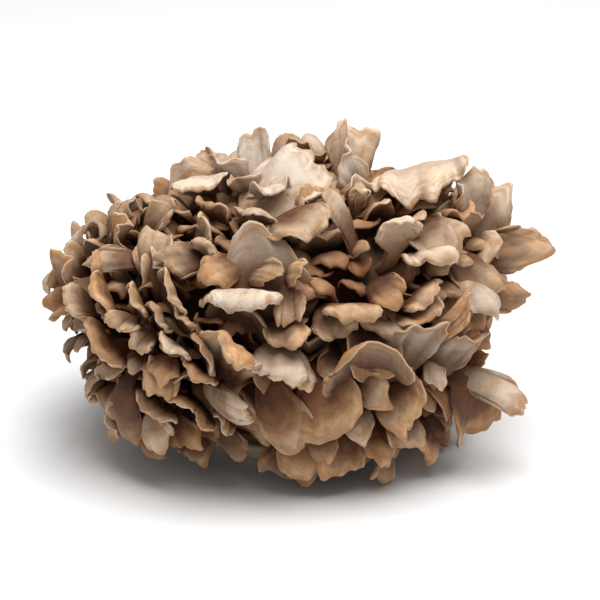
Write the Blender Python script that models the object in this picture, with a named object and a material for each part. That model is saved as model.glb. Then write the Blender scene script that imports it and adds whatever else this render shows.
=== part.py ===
"""A maitake mushroom: one fruiting body of fan-shaped fronds that grow from one cut base.

Lengths below are in millimetres and angles in degrees. The mesh is in metres, +Z up: the flat cut base
lies on the plane z = 0, the middle of the outline is over the origin, and the front faces -Y.
"""

import math

import bmesh
import bpy
import numpy as np

MM = 0.001
COLOUR = (0.47, 0.34, 0.235, 1.0)
ROUGHNESS = 0.8

# The core: the branched base that the fronds stand out of, cut flat underneath.
CORE_SHARE = 0.72       # of the dome's radius
CORE_COLUMNS = 14
CORE_LATITUDES = (-55, -15, 25, 60)
CUT_RADIUS = 34.0       # of the flat cut face that the mushroom stands on
CUT_NECK = 12.0         # height over which the cut base widens into the core
CUT_FLARE = 1.12        # radius at that height, as a share of the cut face's

# The dome that the frond tips reach, round the heart of the cluster.
HEART = 62.0            # height above the table
HALF_WIDTH = 91.0
HALF_DEPTH = 77.0
CROWN_RISE = 51.0
SKIRT_DROP = 61.0
LEAN = 0.12             # the crown stands this much higher on the +X side, and lower on the other
PLAN_POWER = 2.3        # 2 would be an ellipse, and more is squarer
CROWN_POWER = 2.4
SKIRT_POWER = 3.7
# Where the dome swells or sinks: longitude, latitude, angular radius, millimetres outward.
SWELLS = [
    (88, 20, 24, 10),
    (-62, -36, 16, 4),
    (88, -14, 14, -26),
    (82, -27, 13, 5),
    (-88, -28, 20, -20),
    (20, 20, 10, -4),
    (150, 10, 25, -9),
    (-150, -12, 22, -8),
    (178, -5, 26, 4),
    (120, -30, 18, -7),
    (-116, 32, 20, -12),
    (113, 40, 18, -12),
    (-20, -42, 15, -9),
    (32, -40, 12, 6),
    (-86, 12, 12, 5),
]

# Every frond: a stem from the heart of the cluster, widening into a fan-shaped cap.
HIDDEN = 0.5            # cap length under its neighbours, as a share of the length that shows
SPREAD = 102.0          # half angle of the cap's rounded margin
FAN_RADIUS = 0.46       # radius of that margin, as a share of the cap's length
BLUNT = 0.64            # and at most this share of the cap's width, so that narrow caps end bluntly
OPENING = 1.6           # 1 widens evenly from neck to margin, and more opens sooner
SKEW = 0.12             # the most that one side of the margin runs ahead of the other
LOBES = [(0.08, 2.6), (0.06, 6.3), (0.04, 13.0), (0.026, 21.0)]     # share of the radius, and rate across
RIPPLES = [(1.0, 1.0), (0.35, 2.3), (0.14, 4.1)]    # share of the wave, and rate across
RIPPLE_GROWTH = 1.7     # the waves grow from the neck to the margin by this power
CURL_STARTS = 0.72      # share of the cap's length where the margin starts to turn down
NECK_THICK = 1.5        # of the frond's thickness, at the neck
RIM_THICK = 0.82        # and at the margin
STEM_HALF_WIDTH = 5.0
STEM_BEND = 14.0        # the most that a stem runs straight on from its cap's neck
ROOT_HEIGHT = 40.0
ROOT_DEPTH = 0.5        # a stem starts this far out from the heart towards its cap
LOWEST = 1.0            # no frond reaches lower than this; the cut base stands on the table

# The kinds of frond: how far the tip stands out from the dome, how far the cap is cupped across, bent
# along its length and curled at the margin, its wave's height, and its rise out of the neck.
KINDS = {
    "scale": dict(tilt=44, cup=-35, bend=46, curl=34, wave=2.3, inner=45),
    "spoon": dict(tilt=14, cup=85, bend=8, curl=0, wave=2.0, inner=60),
    "fan": dict(tilt=42, cup=88, bend=24, curl=34, wave=3.0, inner=-20, neck=0.3, under=True),
    "lip": dict(tilt=68, cup=-20, bend=44, curl=64, wave=1.6, inner=10, thick=2.8),
    "leaf": dict(tilt=56, cup=-40, bend=28, curl=20, wave=1.6, inner=30, neck=0.5),
    "slab": dict(tilt=16, cup=-22, bend=30, curl=46, wave=3.2, inner=60),
    "upright": dict(tilt=66, cup=50, bend=-15, curl=20, wave=3.0, inner=-5),
    "blade": dict(tilt=104, cup=-22, bend=22, curl=26, wave=1.5, inner=25, neck=0.7, thick=2.1),
    "frill": dict(tilt=30, cup=45, bend=4, curl=20, wave=2.8, inner=30, thick=1.7, waves=4.0),
}

# The grid of the solid's caps: steps from neck to margin, and across.
BROAD = 19.0            # caps this wide or wider get the finer of the two grids
BROAD_GRID = (1, (0.4, 1.0), (-1.0, -0.42, 0.42, 1.0))
NARROW_GRID = (1, (0.35, 1.0), (-1.0, 0.0, 1.0))


class Frond:
    """One stem and cap: where it sits on the dome, the way its tip points, its size and its form."""

    def __init__(self, kind, lon, lat, roll, length, width, seed, **changes):
        self.lon = lon
        self.lat = lat
        self.roll = roll
        self.length = length
        self.width = width
        self.seed = seed
        self.out = 0.0          # millimetres out from the dome
        self.twist = 0.0        # degrees about its own length
        self.waves = 3.0        # quarter waves across half its width
        self.thick = 1.7
        self.neck = 0.36        # width at the neck, as a share of the cap's
        self.point = 0.0        # how far the margin draws in at its sides, so that its tip is pointed
        self.ragged = 1.0       # how uneven the margin is
        self.under = False      # True if it shows its under face
        self.tone = 0.0         # how much darker than the rest
        self.pale = 0.0         # how much paler
        for name, value in {**KINDS[kind], **changes}.items():
            setattr(self, name, value)


def unit(vector):
    return vector / np.linalg.norm(vector)


def smooth(x):
    x = np.clip(x, 0.0, 1.0)
    return x * x * (3.0 - 2.0 * x)


def turned(vector, axis, degrees):
    angle = math.radians(degrees)
    along = axis * (axis @ vector) * (1.0 - math.cos(angle))
    return vector * math.cos(angle) + np.cross(axis, vector) * math.sin(angle) + along


def ray_towards(lon, lat):
    lon = math.radians(lon)
    lat = math.radians(lat)
    return np.array([math.sin(lon) * math.cos(lat), -math.cos(lon) * math.cos(lat), math.sin(lat)])


def swelling(ray):
    total = 0.0
    for lon, lat, radius, height in SWELLS:
        angle = math.degrees(math.acos(np.clip(ray @ ray_towards(lon, lat), -1.0, 1.0)))
        total += height * math.exp(-((angle / radius) ** 2))
    return total


def dome_point(lon, lat, out=0.0):
    """A point of the dome. Longitude 0 faces -Y and grows towards +X; latitude is seen from the heart."""
    ray = ray_towards(lon, lat)
    wide = abs(ray[0] / HALF_WIDTH) ** PLAN_POWER
    deep = abs(ray[1] / HALF_DEPTH) ** PLAN_POWER
    plan = (wide + deep) ** (1 / PLAN_POWER)
    crown = ray[2] > 0
    rise = CROWN_RISE * (1 + LEAN * ray[0]) if crown else SKIRT_DROP
    power = CROWN_POWER if crown else SKIRT_POWER
    radius = (plan**power + abs(ray[2] / rise) ** power) ** (-1 / power)
    return ray * (radius + swelling(ray) + out) + np.array([0.0, 0.0, HEART])


def dome_frame(lon, lat):
    """The outward, upward and rightward directions on the dome, as seen from outside."""
    step = 0.5
    east = dome_point(lon + step, lat) - dome_point(lon - step, lat)
    up = unit(dome_point(lon, lat + step) - dome_point(lon, lat - step))
    outward = unit(np.cross(east, up))
    return outward, up, np.cross(up, outward)


def cap_axes(frond):
    """The directions along the cap, out of its upper face, and across it, at the middle of what shows."""
    outward, up, right = dome_frame(frond.lon, frond.lat)
    roll = math.radians(frond.roll)
    tilt = math.radians(frond.tilt)
    heading = up * math.cos(roll) + right * math.sin(roll)
    along = heading * math.cos(tilt) + outward * math.sin(tilt)
    face = outward * math.cos(tilt) - heading * math.sin(tilt)
    if frond.under:
        face = -face
    face = turned(face, along, frond.twist)
    return along, face, np.cross(face, along)


def spine(frond):
    """The cap's centre line: distance from the neck, place along the cap, rise and downward turn."""
    reach = frond.length * (1.0 + HIDDEN)
    middle = reach - 0.5 * frond.length
    s = np.linspace(0.0, 1.15 * reach, 60)
    rising = -frond.inner * (1.0 - s / middle)
    falling = frond.bend * (s - middle) / (reach - middle)
    turn = np.where(s < middle, rising, falling)
    turn += frond.curl * smooth((s / reach - CURL_STARTS) / (1.0 - CURL_STARTS))
    turn = np.radians(turn)
    step = np.diff(s)
    along = np.concatenate([[0.0], np.cumsum(np.cos(turn[:-1]) * step)])
    rise = np.concatenate([[0.0], np.cumsum(-np.sin(turn[:-1]) * step)])
    return s, along - np.interp(middle, s, along), rise - np.interp(middle, s, rise), turn


def margin(frond, v, phases, skew):
    """How far along and across the cap its margin lies, for each v."""
    swings = [share * np.sin(rate * v + phase) for (share, rate), phase in zip(LOBES, phases)]
    lobes = 1.0 + frond.ragged * sum(swings)
    reach = frond.length * (1.0 + HIDDEN)
    radius = min(FAN_RADIUS * reach, BLUNT * frond.width)
    angle = v * math.radians(SPREAD)
    along = (reach - radius) + radius * np.cos(angle) * lobes + skew * reach * np.sin(angle)
    across = frond.width / 2 * np.sin(angle) * (0.85 + 0.15 * lobes)
    return along * (1.0 - frond.point * smooth(1.4 * np.abs(v))), across


def cupped(frond, u, flat, local):
    """The cap's section at u, bent round: place across and rise, for each flat place across."""
    half = math.radians(frond.cup) / 2 * smooth(u * 1.4 + 0.1)
    half = np.where(np.abs(half) < 1e-4, 1e-4, half)
    bow = flat / local * half
    return local * np.sin(bow) / half, local * (1.0 - np.cos(bow)) / half


def cap_surface(frond, u, v):
    """Points of the cap's middle surface: u runs from 0 at the neck to 1 at the margin, v from -1 to 1."""
    draw = np.random.default_rng(frond.seed)
    broad, ripples, fine = draw.uniform(0.0, 2.0 * math.pi, (3, 2))
    skew = draw.uniform(-SKEW, SKEW)
    margin_along, margin_across = margin(frond, v, (*broad, *fine), skew)
    opening = 1.0 - (1.0 - np.clip(u, 0.0, 1.0)) ** OPENING
    neck_across = frond.width / 2 * frond.neck * v
    flat = neck_across + (margin_across - neck_across) * opening
    local = frond.width / 2 * (frond.neck + (1.0 - frond.neck) * opening)
    y, z = cupped(frond, u, flat, local)
    height = frond.wave * np.clip(u, 0.0, 1.0) ** RIPPLE_GROWTH
    for (share, rate), phase in zip(RIPPLES, (*ripples, fine[1])):
        z += share * height * np.sin(rate * frond.waves * v * math.pi / 2 + phase)
    s, run, rise, turn = spine(frond)
    at = margin_along * u
    turn = np.interp(at, s, turn)
    run = np.interp(at, s, run) + z * np.sin(turn)
    rise = np.interp(at, s, rise) + z * np.cos(turn)
    along, face, across = cap_axes(frond)
    place = dome_point(frond.lon, frond.lat, frond.out)
    return place + run[..., None] * along + rise[..., None] * face + y[..., None] * across


def cap_rows(frond, us, vs):
    """The cap's points, face normals and half thicknesses, a row for each u."""
    u, v = np.meshgrid(np.asarray(us, float), np.asarray(vs, float), indexing="ij")
    points = cap_surface(frond, u, v)
    step = 1e-3
    du = cap_surface(frond, u + step, v) - cap_surface(frond, u - step, v)
    dv = cap_surface(frond, u, v + step) - cap_surface(frond, u, v - step)
    normals = np.cross(du, dv)
    normals /= np.linalg.norm(normals, axis=-1, keepdims=True)
    half_thick = frond.thick * (NECK_THICK + (RIM_THICK - NECK_THICK) * u) / 2
    rounding = np.sqrt(np.clip(1 - np.abs(v) ** 8, 0, 1)) * np.sqrt(np.clip(1 - u**16, 0, 1))
    return points, normals, half_thick * rounding


def stem_rows(frond, count, vs):
    """The stem's points, normals and half thicknesses, from its root deep in the cluster to the neck."""
    along, face, across = cap_axes(frond)
    lift = math.radians(frond.inner)
    heading = along * math.cos(lift) + face * math.sin(lift)
    neck = cap_surface(frond, np.array([0.0]), np.array([0.0]))[0]
    heart = np.array([0.0, 0.0, ROOT_HEIGHT])
    root = heart + (dome_point(frond.lon, frond.lat) - heart) * ROOT_DEPTH
    bend = neck - heading * min(0.45 * np.linalg.norm(neck - root), STEM_BEND)
    neck_half = frond.width / 2 * frond.neck
    neck_thick = frond.thick * NECK_THICK * 0.58
    points, normals, half_thick = [], [], []
    vs = np.asarray(vs, float)
    for t in np.linspace(0.0, 1.0, count + 1)[:-1]:
        centre = (1 - t) ** 2 * root + 2 * t * (1 - t) * bend + t * t * neck
        tangent = unit((1 - t) * (bend - root) + t * (neck - bend))
        side = unit(across - (across @ tangent) * tangent)
        half = min(neck_half, STEM_HALF_WIDTH) * (1 - t) + neck_half * t
        points.append(centre + (vs * half)[:, None] * side)
        normals.append(np.repeat(np.cross(tangent, side)[None], len(vs), 0))
        half_thick.append(np.sqrt(np.clip(1 - vs**2, 0, 1)) * neck_thick * (1.15 - 0.15 * t))
    return np.array(points), np.array(normals), np.array(half_thick)


def skin_faces(upper, under):
    """Triangles over the two faces of a frond and its root, split alike on both faces."""
    half = (upper.shape[1] - 1) // 2
    faces = []
    for grid, order in ((upper, 1), (under, -1)):
        a, b, c, d = grid[:-1, :-1], grid[1:, :-1], grid[1:, 1:], grid[:-1, 1:]
        for corners in ((a, b, d), (b, c, d)):
            faces.append(np.stack(corners, -1)[:, :half].reshape(-1, 3)[:, ::order])
        for corners in ((a, b, c), (a, c, d)):
            faces.append(np.stack(corners, -1)[:, half:].reshape(-1, 3)[:, ::order])
    ring = list(upper[0]) + list(under[0, ::-1][1:-1])
    faces.append(np.array([(ring[0], ring[i], ring[i + 1]) for i in range(1, len(ring) - 1)]))
    return np.concatenate(faces)


def frond_mesh(frond, stem, us, vs):
    """One closed skin: points, triangles, and each point's u, v and side (+1 upper, -1 under)."""
    stem_points, stem_normals, stem_thick = stem_rows(frond, stem, vs)
    cap_points, cap_normals, cap_thick = cap_rows(frond, us, vs)
    middle = np.concatenate([stem_points, cap_points])
    offset = np.concatenate([stem_normals * stem_thick[..., None], cap_normals * cap_thick[..., None]])
    rows, columns = middle.shape[:2]
    rim = np.zeros((rows, columns), bool)
    rim[:, 0] = rim[:, -1] = rim[-1] = True
    offset[rim] = 0.0
    upper = np.arange(rows * columns).reshape(rows, columns)
    under = np.where(rim, upper, upper + rows * columns)
    faces = skin_faces(upper, under)
    used, index = np.unique(faces, return_inverse=True)
    points = np.concatenate([(middle + offset).reshape(-1, 3), (middle - offset).reshape(-1, 3)])[used]
    points[:, 2] += max(0.0, LOWEST - points[:, 2].min())
    u = np.concatenate([np.linspace(-0.5, 0.0, stem + 1)[:-1], us])
    u = np.repeat(u, columns)
    v = np.tile(vs, rows)
    side = np.where(rim, 0.0, 1.0).ravel()
    marks = np.stack([np.tile(u, 2), np.tile(v, 2), np.concatenate([side, -side])], -1)[used]
    return points, index.reshape(faces.shape), marks


def solid_mesh(frond):
    """The frond's points and triangles as the solid has them, with few faces."""
    grid = BROAD_GRID if frond.width >= BROAD else NARROW_GRID
    points, faces, _ = frond_mesh(frond, *grid)
    return points, faces
# Fronds placed one by one: kind, longitude, latitude, tip direction (0 up, 90 right), length, width,
# changes to the kind.
LANDMARKS = [
    # crown
    ("slab", 70, 43, 246, 29, 39, dict(out=7, tilt=-6, twist=22, pale=0.9, wave=2.6, waves=6, ragged=2.2,
                                       bend=20, curl=30, cup=-14, neck=0.75)),
    ("upright", 20, 80, 62, 27, 40, dict(out=3, tilt=22, pale=0.9, cup=-14, bend=12, inner=10,
                                         ragged=2.2)),
    ("upright", -146, 70, 218, 14, 13, dict(out=5, tilt=66, pale=1.0, cup=30, point=-0.3, neck=0.9,
                                            wave=1.0, ragged=0.6, curl=0)),
    ("upright", 118, 60, 80, 18, 25, dict(out=7, cup=36, pale=0.7, ragged=1.3, point=-0.3, wave=3.6,
                                          waves=4)),
    ("fan", 80, 63, 20, 17, 20, dict(out=4, tilt=52, cup=60, pale=0.4)),
    ("slab", -73, 55, 112, 18, 23, dict(out=5, tilt=-2, pale=1.0, cup=-12, bend=30, curl=26, wave=1.2)),
    ("upright", -109, 47, 240, 15, 28, dict(out=6, tilt=70, pale=0.5, cup=-20, point=0.35, neck=0.8,
                                            curl=0)),
    ("slab", -6, 62, 160, 14, 17, dict(out=6, pale=1.0, point=0.3)),
    ("upright", 150, 74, 0, 10, 20, dict(out=3, tilt=54, tone=0.5)),
    ("upright", 87, 26, 92, 23, 25, dict(tilt=58, cup=-20, bend=14, inner=10, pale=0.35, out=2, ragged=2.2,
                                         wave=4.0)),
    ("scale", 104, 26, 185, 18, 20, dict(out=6, tilt=46, pale=0.7)),
    ("lip", 50, 51, 190, 9, 9, dict(pale=0.9)),
    ("leaf", 33, 47, 350, 20, 13, dict(tilt=44, twist=30, cup=-60, pale=0.2)),
    ("upright", 26, 60, 20, 12, 14, dict(out=-2)),
    # upper band
    ("scale", 9, 43, 145, 21, 28, dict(tilt=12, cup=-40, out=4, curl=22)),
    ("fan", -10, 34, 342, 26, 48, dict(cup=36, wave=2.0, bend=22, tilt=30, neck=0.8, point=0.75, curl=20)),
    ("scale", -22, 26, 215, 16, 17, dict(tilt=24, out=2)),
    ("leaf", -6, 27, 118, 22, 12, dict(tilt=50, tone=0.3)),
    ("leaf", 4, 27, 130, 18, 11, dict(tilt=72, twist=18)),
    ("lip", 44, 34, 203, 12, 19, dict(pale=1.0, out=4, tilt=96, cup=-10, point=-0.1, thick=2.4)),
    ("scale", 56, 28, 188, 21, 28, dict(tilt=26, out=2, ragged=2.0, wave=3.2)),
    ("scale", 70, 30, 200, 15, 16, dict()),
    ("lip", 48, 24, 198, 14, 21, dict(tilt=66, pale=0.8, out=4, cup=-30, wave=2.6)),
    ("scale", 62, 12, 172, 20, 24, dict(tilt=30, tone=0.2, ragged=2.0, wave=3.4)),
    ("scale", 79, 14, 108, 25, 19, dict(tilt=60, cup=-50, out=7, pale=0.3, neck=0.6, point=0.3,
                                        ragged=2.2, wave=3.6, curl=44)),
    ("scale", 58, 9, 165, 15, 16, dict(tilt=40, pale=0.9, out=4)),
    ("leaf", 70, 5, 95, 18, 13, dict(tilt=60, tone=0.2, out=2)),
    ("blade", 43, 15, 158, 14, 20, dict(tilt=84, pale=0.2)),
    ("blade", 40, 10, 158, 14, 20, dict(tilt=84)),
    ("scale", 33, 17, 150, 14, 16, dict(tilt=40, tone=0.4)),
    # middle band
    ("lip", -10, 19, 177, 15, 28, dict(out=6, tilt=74, pale=1.0, cup=0, wave=1.0, thick=4.2, point=-0.2)),
    ("scale", 3, 15, 180, 14, 12, dict(tilt=20)),
    ("lip", 21, 14, 188, 13, 22, dict(tilt=72, pale=0.4, cup=0, wave=1.0, thick=3.6, out=3, point=-0.14)),
    ("scale", 17, 10, 150, 13, 18, dict(tilt=28)),
    ("fan", -14, 4, 22, 34, 28, dict(cup=60, bend=60, out=4, thick=2.4, twist=-14)),
    ("scale", 2, 8, 176, 12, 18, dict(tilt=52, out=1)),
    ("lip", 0, 0, 188, 14, 29, dict(tilt=70, cup=-80, wave=2.6, waves=4, out=6, pale=0.6, thick=2.2)),
    ("lip", 6, -5, 170, 9, 10, dict(tilt=60, cup=-60, wave=1.6, out=2, pale=0.4)),
    ("spoon", -2, -8, 180, 16, 18, dict(out=-7, tone=0.8)),
    ("fan", 22, 2, 352, 21, 42, dict(tilt=34, cup=-110, bend=36, out=3, wave=2.4, thick=2.2, neck=0.5,
                                     tone=0.8)),
    ("spoon", 27, -1, 180, 22, 24, dict(out=-3, tone=0.7)),
    ("fan", 38, 3, 25, 24, 24, dict(tilt=22, bend=30, out=2)),
    ("leaf", 48, 5, 50, 30, 9, dict(tilt=25, neck=0.6)),
    ("fan", 53, -3, 40, 20, 21, dict(tilt=18)),
    ("lip", 62, -14, 162, 29, 15, dict(tilt=88, cup=-40, out=6, pale=0.7, bend=12, curl=30, point=-0.1,
                                       wave=1.8)),
    ("scale", 59, -25, 165, 20, 27, dict(cup=60, out=3, tone=0.4, tilt=14, curl=0, bend=10)),
    ("scale", 44, -8, 180, 9, 9, dict(pale=0.6, out=2)),
    # lower front
    ("scale", 14, -16, 158, 23, 29, dict(out=4, tilt=18, wave=1.0, ragged=0.7)),
    ("scale", 3, -20, 146, 24, 22, dict(out=3, tilt=14, wave=1.5)),
    ("scale", 26, -10, 110, 14, 16, dict(out=1)),
    ("scale", 35, -15, 150, 19, 22, dict(wave=3.2, out=2)),
    ("scale", 22, -20, 160, 14, 14, dict()),
    ("scale", 18, -32, 180, 15, 20, dict(out=2)),
    ("scale", 6, -33, 170, 16, 22, dict(out=3)),
    ("scale", 12, -28, 170, 11, 14, dict()),
    ("scale", 30, -28, 170, 12, 13, dict()),
    ("scale", 38, -25, 165, 12, 16, dict()),
    ("scale", 2, -38, 180, 15, 24, dict(out=5, tone=0.7)),
    ("scale", 50, -32, 200, 10, 10, dict(out=2)),
    # lower left
    ("leaf", -13, -11, 102, 16, 10, dict(out=7, tilt=36, pale=0.35, thick=3.4, cup=-24, point=-0.2,
                                         curl=40, wave=0.6)),
    ("scale", -32, -3, 185, 9, 13, dict(out=4, tilt=60, thick=2.8)),
    ("scale", -33, -8, 190, 13, 15, dict(out=3, tilt=26, thick=2.6, twist=-16)),
    ("blade", -36, -16, 215, 12, 20, dict()),
    ("blade", -28, -13, 205, 10, 13, dict()),
    ("scale", -47, -22, 186, 19, 16, dict(tilt=6, tone=0.5, out=1)),
    ("slab", -36, -24, 160, 11, 16, dict(pale=0.7, tilt=20, out=3)),
    ("scale", -29, -28, 150, 12, 13, dict(tone=0.4, tilt=30)),
    ("blade", -16, -20, 240, 10, 11, dict()),
    ("blade", -22, -19, 235, 10, 12, dict()),
    ("blade", -28, 4, 215, 11, 15, dict(out=5, pale=0.4)),
    ("blade", -20, 2, 245, 10, 19, dict(out=2)),
    ("blade", -22, -3, 215, 11, 17, dict(out=3)),
    ("scale", -16, -32, 155, 12, 13, dict(out=2, tone=0.6, tilt=30)),
    ("scale", -42, -30, 150, 12, 14, dict(out=1, tone=0.3, tilt=30)),
    ("scale", -44, 7, 200, 8, 13, dict(out=4, tilt=66, thick=2.6, pale=0.2)),
    ("scale", -38, 3, 205, 8, 10, dict(out=4, tilt=62, thick=2.6)),
    ("blade", -50, 0, 220, 12, 24, dict(out=3, thick=2.8)),
    # upper left
    ("scale", -38, 28, 222, 17, 19, dict(tilt=26, tone=0.2)),
    ("frill", -60, 38, 10, 15, 13, dict(out=2)),
    ("blade", -36, 40, 224, 13, 18, dict(pale=0.3)),
    ("leaf", -60, 20, 222, 18, 12, dict(tilt=30, out=2)),
    ("blade", -52, 12, 222, 13, 22, dict(out=3)),
    ("frill", -74, 12, 340, 14, 15, dict(out=3)),
    ("blade", -32, 18, 224, 12, 23, dict(out=2)),
    ("blade", -28, 12, 220, 10, 13, dict(out=1)),
    ("blade", -34, 11, 220, 10, 14, dict(out=2)),
    ("blade", -42, 14, 218, 11, 16, dict(out=2)),
    ("lip", -30, 33, 190, 8, 11, dict(pale=0.8, out=2)),
    ("frill", -78, 30, 350, 14, 12, dict(out=2)),
    ("frill", -68, 27, 20, 12, 12, dict(tilt=45)),
    ("scale", -66, 43, 185, 14, 17, dict(tone=0.4, out=1)),
    ("lip", -46, 50, 180, 11, 17, dict(thick=2.4, tone=0.4)),
    ("blade", -59, 17, 228, 11, 16, dict(out=2)),
    ("blade", -62, 8, 214, 12, 18, dict(out=3)),
    ("frill", -70, 3, 200, 12, 15, dict(out=3, tilt=50)),
    ("scale", -128, 26, 190, 12, 16, dict()),
    ("frill", 78, 33, 40, 14, 21, dict(out=7, tilt=40, pale=0.4, wave=3.4)),
    ("frill", 88, 12, 70, 13, 17, dict(out=6, tilt=55, wave=3.0)),
]
# Deep gaps that stay open between the fronds: longitude, latitude, radius.
GAPS = [(22, 25, 8), (27, 35, 5), (-33, 12, 4)]
LOWEST_LATITUDE = -42
CROWN_LATITUDE = 52
SKIRT_LATITUDE = -20
FILL_SPACING = 16.0     # between the middles of the fronds that follow the rule
FILL_SEED = 5


def landmark_fronds():
    fronds = []
    for seed, (kind, lon, lat, roll, length, width, changes) in enumerate(LANDMARKS):
        fronds.append(Frond(kind, lon, lat, roll, length, width, seed, **changes))
    return fronds


def bump(x, middle, reach):
    return math.exp(-(((x - middle) / reach) ** 2))


def fineness(lon, lat):
    """1 on the left flank, where the fronds are small and crowded, 0 elsewhere."""
    return bump(lon, -58, 44) * bump(lat, -5, 38)


def slanting(lon, lat):
    """1 on the left of the front, where the fronds stand on edge and slant, 0 elsewhere."""
    return bump(lon, -42, 25) * bump(lat, 0, 22)


def frilling(lon, lat):
    """1 high on the left flank, where small ruffled fronds stand up, 0 elsewhere."""
    return bump(lon, -78, 28) * bump(lat, 24, 15)


def flow(lon, lat):
    """The way the tips point, so that neighbours overlap alike: down, veering from side to side."""
    turn = math.radians(lon)
    return 180 + 20 * math.sin(2 * turn + 0.9) + 14 * math.sin(5 * turn + lat / 18)


def rule_kind(lon, lat, draw):
    if lat > CROWN_LATITUDE:
        return "slab" if draw.random() < 0.62 else "upright"
    if draw.random() < 0.8 * slanting(lon, lat):
        return "blade"
    if draw.random() < 0.8 * frilling(lon, lat):
        return "frill"
    pick = draw.random()
    if lat < SKIRT_LATITUDE or pick < 0.52:
        return "scale"
    if pick < 0.66:
        return "fan"
    return "lip" if pick < 0.82 else "leaf"


def rule_pose(kind, lon, lat, draw):
    """The tip's direction and the tilt of a frond that follows the rule."""
    tilt = KINDS[kind]["tilt"] + draw.uniform(-16, 22)
    if lat > CROWN_LATITUDE:
        return 180 + draw.normal(0, 60), tilt
    if kind == "blade":
        return draw.normal(212, 13), KINDS[kind]["tilt"] + draw.uniform(-14, 14)
    if kind == "frill":
        return draw.normal(350, 40), tilt
    if kind == "fan":
        return draw.normal(0, 22), tilt
    return flow(lon, lat) + draw.normal(0, 15), tilt + 10 * fineness(lon, lat)


def rule_frond(lon, lat, draw, seed, out):
    fine = fineness(lon, lat)
    crown = lat > CROWN_LATITUDE
    kind = rule_kind(lon, lat, draw)
    form = KINDS[kind]
    roll, tilt = rule_pose(kind, lon, lat, draw)
    width = draw.uniform(15, 27) * (1 - 0.34 * fine - 0.16 * frilling(lon, lat))
    length = width * draw.uniform(0.58, 0.86)
    if kind == "leaf":
        width *= 0.61
        length = width * draw.uniform(1.1, 1.6)
    changes = dict(
        tilt=tilt,
        cup=form["cup"] + draw.uniform(-25, 25),
        bend=form["bend"] + draw.uniform(-12, 15),
        wave=form["wave"] * draw.uniform(0.7, 1.5),
        twist=draw.normal(0, 13),
        out=out + (draw.uniform(-2.0, 3.0) if crown else draw.uniform(-4.5, 3.0)),
        tone=max(0.0, draw.normal(0.15, 0.3)),
        pale=0.25 * draw.random() + (0.35 if lat > 45 else 0.0),
        point=draw.uniform(-0.12, 0.22),
        ragged=draw.uniform(0.7, 1.8),
    )
    return Frond(kind, lon, lat, roll, length, width, seed, **changes)


def golden_places(count, draw):
    """Longitudes and latitudes on a golden spiral from the top down, each a little astray."""
    golden = math.pi * (3 - math.sqrt(5))
    for i in range(count):
        lat = math.degrees(math.asin(1 - (i + 0.5) * 2 / count)) + draw.uniform(-2.5, 2.5)
        lon = math.degrees(i * golden) + draw.uniform(-3, 3)
        yield i, (lon + 180) % 360 - 180, min(88.0, lat)


def in_gap(middle):
    return any(np.linalg.norm(middle - dome_point(lon, lat)) < 1.6 * radius for lon, lat, radius in GAPS)


def rule_fronds(taken, spacing, out, seed, gaps=True):
    """Fronds all over the dome, wherever no other is nearer than the spacing."""
    draw = np.random.default_rng(seed)
    middles = [dome_point(frond.lon, frond.lat) for frond in taken]
    made = []
    for i, lon, lat in golden_places(int(240000 / spacing**2), draw):
        crowding = 0.2 * fineness(lon, lat) + 0.2 * slanting(lon, lat)
        room = spacing * (1 - crowding) * draw.uniform(0.8, 1.1)
        middle = dome_point(lon, lat)
        if lat < LOWEST_LATITUDE or (gaps and in_gap(middle)):
            continue
        if any(np.linalg.norm(middle - other) < room for other in middles):
            continue
        middles.append(middle)
        made.append(rule_frond(lon, lat, draw, seed * 1000 + i, out))
    return made


def outer_fronds():
    """The fronds that show: those placed one by one, and those that the rule sets between them."""
    fronds = landmark_fronds()
    return fronds + rule_fronds(fronds, FILL_SPACING, 0.0, FILL_SEED)


def outline_middle(fronds):
    """The middle of the fronds' outline, seen from above; it goes over the origin."""
    points = np.concatenate([solid_mesh(frond)[0] for frond in fronds])
    middle = (points.min(axis=0) + points.max(axis=0)) / 2
    return np.array([middle[0], middle[1], 0.0])


def core_rings():
    """Rings of points from the cut face up to the crown."""
    rings = []
    for height, radius in ((0.0, CUT_RADIUS), (CUT_NECK, CUT_FLARE * CUT_RADIUS)):
        turns = [2 * math.pi * i / CORE_COLUMNS for i in range(CORE_COLUMNS)]
        rings.append([(radius * math.sin(t), -radius * math.cos(t), height) for t in turns])
    heart = np.array([0.0, 0.0, HEART])
    for lat in CORE_LATITUDES:
        lons = [360 * i / CORE_COLUMNS for i in range(CORE_COLUMNS)]
        rings.append([heart + (dome_point(lon, lat) - heart) * CORE_SHARE for lon in lons])
    return rings


def core_mesh():
    """The core as one closed skin: its rings, closed by a point at the crown and one at the cut."""
    rings = core_rings()
    points = [point for ring in rings for point in ring]
    points.append((0.0, 0.0, HEART + CROWN_RISE * CORE_SHARE))
    points.append((0.0, 0.0, 0.0))
    top = len(points) - 2
    bottom = len(points) - 1
    last = top - CORE_COLUMNS
    faces = []
    for i in range(CORE_COLUMNS):
        j = (i + 1) % CORE_COLUMNS
        for low in range(0, last, CORE_COLUMNS):
            high = low + CORE_COLUMNS
            faces.append((low + i, low + j, high + j))
            faces.append((low + i, high + j, high + i))
        faces.append((last + i, last + j, top))
        faces.append((j, i, bottom))
    return np.array(points), np.array(faces)


def add_mesh(name, points, faces, collection):
    mesh = bpy.data.meshes.new(name)
    mesh.from_pydata((points * MM).tolist(), [], faces.tolist())
    made = bpy.data.objects.new(name, mesh)
    collection.objects.link(made)
    return made


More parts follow.
